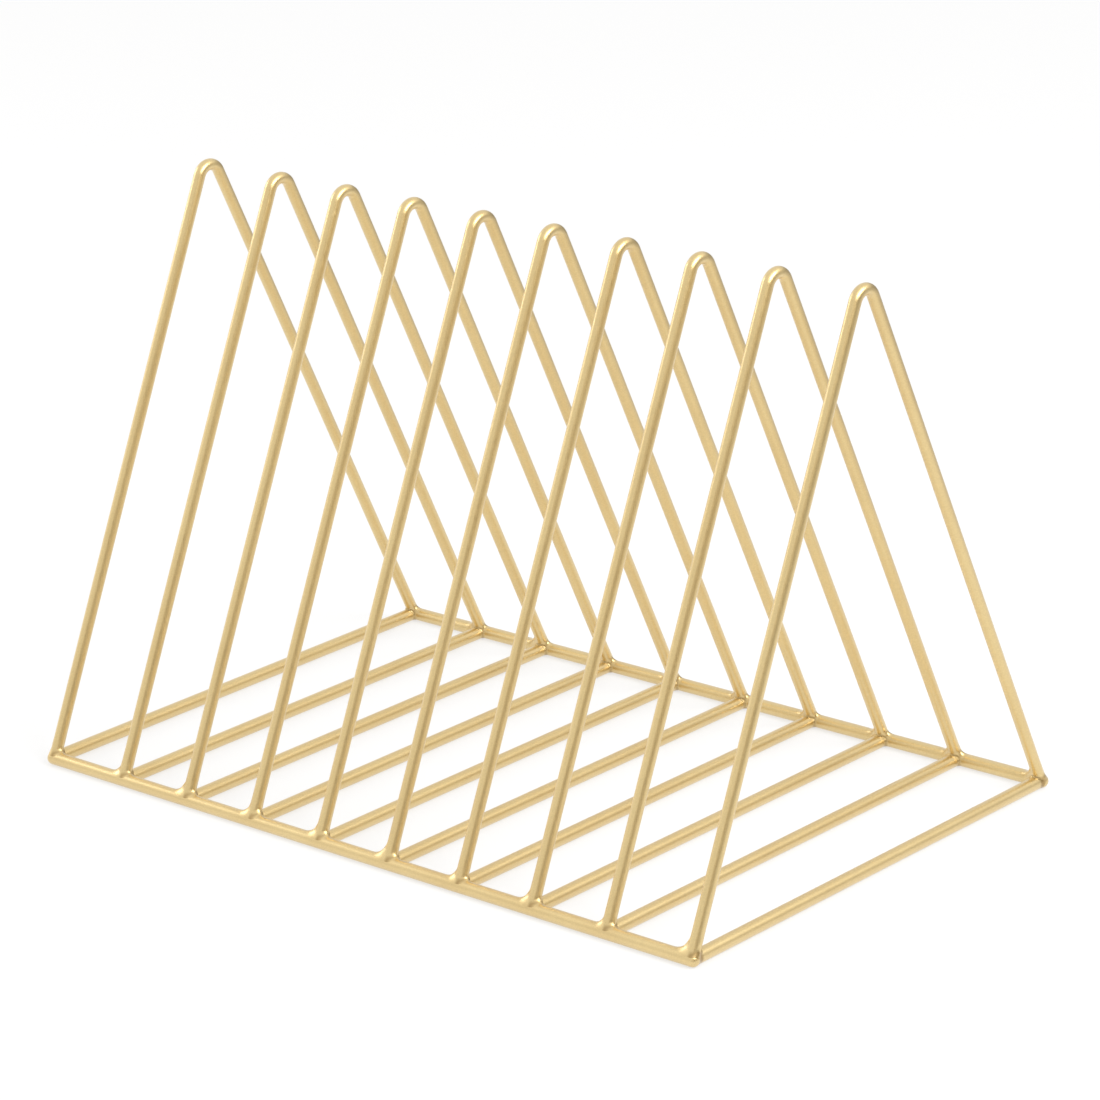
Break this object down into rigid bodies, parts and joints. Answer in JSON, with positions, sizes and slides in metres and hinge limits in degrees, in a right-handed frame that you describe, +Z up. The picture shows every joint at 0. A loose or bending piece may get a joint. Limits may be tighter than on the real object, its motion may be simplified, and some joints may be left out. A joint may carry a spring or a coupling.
{
  "type": "desk file holder",
  "caption": "Welded wire rack that holds files upright in a row of slots between inverted-V frames on two rails, for a desk top.",
  "frame": {"origin": "on the desk, under the middle of the rack: the centre of the underside of its bounding box", "axes": "+X along the row of slots, +Y from the front rail to the rear rail, +Z up"},
  "size_m": [0.263, 0.1682, 0.1765],
  "materials": {
    "frame_wire": "satin champagne gold",
    "base_wire": "satin champagne gold",
    "rail": "satin champagne gold"
  },
  "bodies": {
    "root": {"frame_wire_01": "frame_wire", "frame_wire_02": "frame_wire", "frame_wire_03": "frame_wire", "frame_wire_04": "frame_wire", "frame_wire_05": "frame_wire", "frame_wire_06": "frame_wire", "frame_wire_07": "frame_wire", "frame_wire_08": "frame_wire", "frame_wire_09": "frame_wire", "frame_wire_10": "frame_wire", "base_wire_01": "base_wire", "base_wire_02": "base_wire", "base_wire_03": "base_wire", "base_wire_04": "base_wire", "base_wire_05": "base_wire", "base_wire_06": "base_wire", "base_wire_07": "base_wire", "base_wire_08": "base_wire", "base_wire_09": "base_wire", "base_wire_10": "base_wire", "front_rail": "rail", "rear_rail": "rail"}
  },
  "joints": []
}
